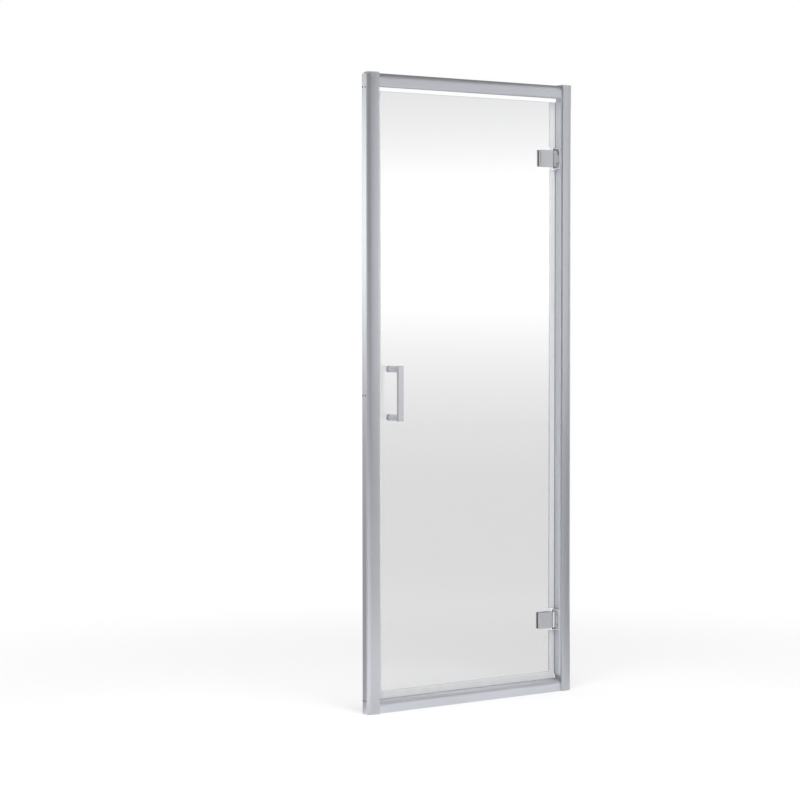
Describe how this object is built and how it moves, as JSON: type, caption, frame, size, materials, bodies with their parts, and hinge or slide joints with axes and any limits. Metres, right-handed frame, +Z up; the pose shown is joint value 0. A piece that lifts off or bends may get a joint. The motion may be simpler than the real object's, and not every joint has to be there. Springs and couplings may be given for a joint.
{
  "type": "hinged shower door",
  "caption": "Framed hinged shower door: a clear glass leaf on side hinges between wall posts, with rails, seals, a magnetic closing edge and a flat bar handle.",
  "frame": {"origin": "middle of the frame's underside, half way between the two wall faces and half way through the jamb strips", "axes": "+Z up, +X towards the hinge side as seen from outside, +Y into the shower, so the leaf opens towards -Y"},
  "size_m": [0.76, 0.0655, 1.85],
  "materials": {
    "satin_aluminium": "satin anodised",
    "chrome": "soft polished chrome",
    "steel": "plain stainless",
    "silver_plastic": "silver moulded",
    "clear_glass": "clear toughened",
    "seal_plastic": "translucent soft",
    "clear_plastic": "translucent",
    "gasket_rubber": "soft grey",
    "magnet_rubber": "matt",
    "dark_nylon": "matt"
  },
  "bodies": {
    "frame": {"bottom_rail": "satin_aluminium", "hinge_bracket_screws": "steel", "hinge_jamb": "satin_aluminium", "hinge_lock_screw_caps": "silver_plastic", "hinge_lock_screws": "steel", "hinge_post": "satin_aluminium", "hinge_post_cap": "silver_plastic", "hinge_wall_channel": "satin_aluminium", "lower_hinge_bracket": "chrome", "lower_hinge_pin": "steel", "rail_screws": "steel", "strike_jamb": "satin_aluminium", "strike_lock_screw_caps": "silver_plastic", "strike_lock_screws": "steel", "strike_magnet": "magnet_rubber", "strike_post": "satin_aluminium", "strike_post_cap": "silver_plastic", "strike_wall_channel": "satin_aluminium", "top_rail": "satin_aluminium", "upper_hinge_bracket": "chrome", "upper_hinge_pin": "steel"},
    "leaf": {"glass_panel": "clear_glass", "drip_seal": "seal_plastic", "hinge_side_seal": "seal_plastic", "magnet_seal": "seal_plastic", "leaf_magnet": "magnet_rubber", "handle_bar": "chrome", "handle_legs": "chrome", "handle_washers": "gasket_rubber", "handle_rosettes": "chrome", "handle_screws": "steel", "handle_sleeves": "clear_plastic", "upper_hinge_plate": "chrome", "upper_hinge_inner_plate": "chrome", "upper_hinge_gaskets": "gasket_rubber", "upper_hinge_sleeves": "clear_plastic", "upper_hinge_bushes": "dark_nylon", "upper_hinge_clamp_screws": "steel", "lower_hinge_plate": "chrome", "lower_hinge_inner_plate": "chrome", "lower_hinge_gaskets": "gasket_rubber", "lower_hinge_sleeves": "clear_plastic", "lower_hinge_bushes": "dark_nylon", "lower_hinge_clamp_screws": "steel"}
  },
  "joints": [
    {"name": "leaf_swing", "type": "hinge", "parent": "frame", "child": "leaf", "pos_m": [0.32544, 0.0035, 0], "axis": [0, 0, 1], "range_deg": [0, 90]}
  ]
}
